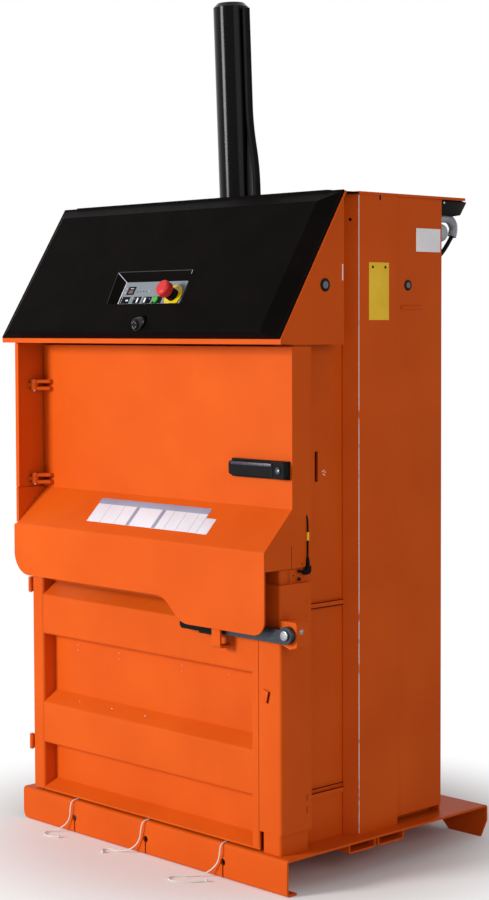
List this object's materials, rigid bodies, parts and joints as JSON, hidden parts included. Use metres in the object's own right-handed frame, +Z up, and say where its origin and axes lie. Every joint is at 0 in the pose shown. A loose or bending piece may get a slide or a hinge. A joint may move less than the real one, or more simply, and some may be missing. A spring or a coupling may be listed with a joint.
{
  "type": "recycling baler",
  "caption": "Vertical recycling baler in folded sheet steel with a sloping control hood, upper loading door with apron, lower bale door with lock lever and a top cylinder.",
  "frame": {"origin": "on the floor under the middle of the machine's overall box", "axes": "+X to the right seen from the front, +Y to the back, +Z up"},
  "size_m": [0.979, 0.7768, 1.9896],
  "materials": {
    "orange_paint": "satin powder coat, orange",
    "black_moulding": "fine-grained matt black moulding",
    "black_paint": "gloss black paint",
    "panel_grey": "matt grey print on a flat plate",
    "steel": "bare machined steel",
    "red_plastic": "glossy red moulding",
    "yellow_plastic": "glossy yellow moulding",
    "green_plastic": "translucent green cap",
    "black_plastic": "matt black plastic",
    "grey_paint": "grey enamel",
    "rubber": "black rubber",
    "twine": "white polyester twine"
  },
  "bodies": {
    "frame": {"back_panel": "orange_paint", "bale_hinge_leaves": "orange_paint", "base_plate": "orange_paint", "base_rails": "orange_paint", "chamber_floor": "steel", "cheek_left": "orange_paint", "cheek_right": "orange_paint", "column_left": "orange_paint", "column_right": "orange_paint", "control_box": "black_plastic", "control_panel": "panel_grey", "cylinder_gland": "steel", "cylinder_hose": "rubber", "cylinder_tube": "black_paint", "door_header": "orange_paint", "front_post_left": "orange_paint", "front_post_right": "orange_paint", "guard_plate": "orange_paint", "head_beam": "orange_paint", "hinge_pins": "steel", "hood_cover": "black_moulding", "hood_rim": "orange_paint", "hydraulic_pump": "grey_paint", "oil_tank": "grey_paint", "post_cover": "orange_paint", "power_shelf": "orange_paint", "pump_motor": "grey_paint", "rear_panel_left": "orange_paint", "rear_panel_right": "orange_paint", "side_wall_left": "orange_paint", "side_wall_right": "orange_paint", "stop_collar": "yellow_plastic", "top_plate": "orange_paint", "twine_left": "twine", "twine_middle": "twine", "twine_right": "twine", "wall_straps": "orange_paint"},
    "upper_door": {"upper_door": "orange_paint", "door_hinge_arms": "orange_paint", "handle_base": "black_plastic", "handle_lock": "steel"},
    "door_handle": {"door_handle": "black_plastic"},
    "bale_door": {"bale_door": "orange_paint", "door_beam_top": "orange_paint", "door_beam_middle": "orange_paint", "door_stile": "orange_paint", "door_cover": "orange_paint", "door_knuckles": "orange_paint", "latch_housing": "orange_paint", "lever_keeper": "black_paint"},
    "lock_lever": {"lock_lever": "steel", "lever_grip": "black_plastic"},
    "press": {"press_plate": "orange_paint", "piston_rod": "steel", "piston": "steel"},
    "stop_button": {"stop_button": "red_plastic"},
    "start_button": {"start_button": "green_plastic"},
    "key_lock": {"key_lock": "black_plastic"}
  },
  "joints": [
    {"name": "upper_door_hinge", "type": "hinge", "parent": "frame", "child": "upper_door", "pos_m": [-0.419, -0.309, 0.967], "axis": [0, 0, -1], "range_deg": [0, 110]},
    {"name": "handle_pull", "type": "hinge", "parent": "upper_door", "child": "door_handle", "pos_m": [0.392, -0.288, 0.914], "axis": [0, 0, 1], "range_deg": [0, 35]},
    {"name": "bale_door_hinge", "type": "hinge", "parent": "frame", "child": "bale_door", "pos_m": [-0.44, -0.31, 0.39], "axis": [0, 0, -1], "range_deg": [0, 110]},
    {"name": "lever_lift", "type": "hinge", "parent": "bale_door", "child": "lock_lever", "pos_m": [0.473, -0.328, 0.569], "axis": [0, 1, 0], "range_deg": [0, 30]},
    {"name": "press_stroke", "type": "slide", "parent": "frame", "child": "press", "axis": [0, 0.0414, -0.9991], "range_m": [0, 0.6]},
    {"name": "stop_push", "type": "slide", "parent": "frame", "child": "stop_button", "axis": [0, 0.8679, -0.4968], "range_m": [0, 0.005], "stiffness_N_per_m": 800},
    {"name": "start_push", "type": "slide", "parent": "frame", "child": "start_button", "axis": [0, 0.8679, -0.4968], "range_m": [0, 0.002], "stiffness_N_per_m": 400},
    {"name": "lock_turn", "type": "hinge", "parent": "frame", "child": "key_lock", "pos_m": [0.0445, -0.36576, 1.2285], "axis": [0, 1, 0], "range_deg": [0, 90]}
  ]
}
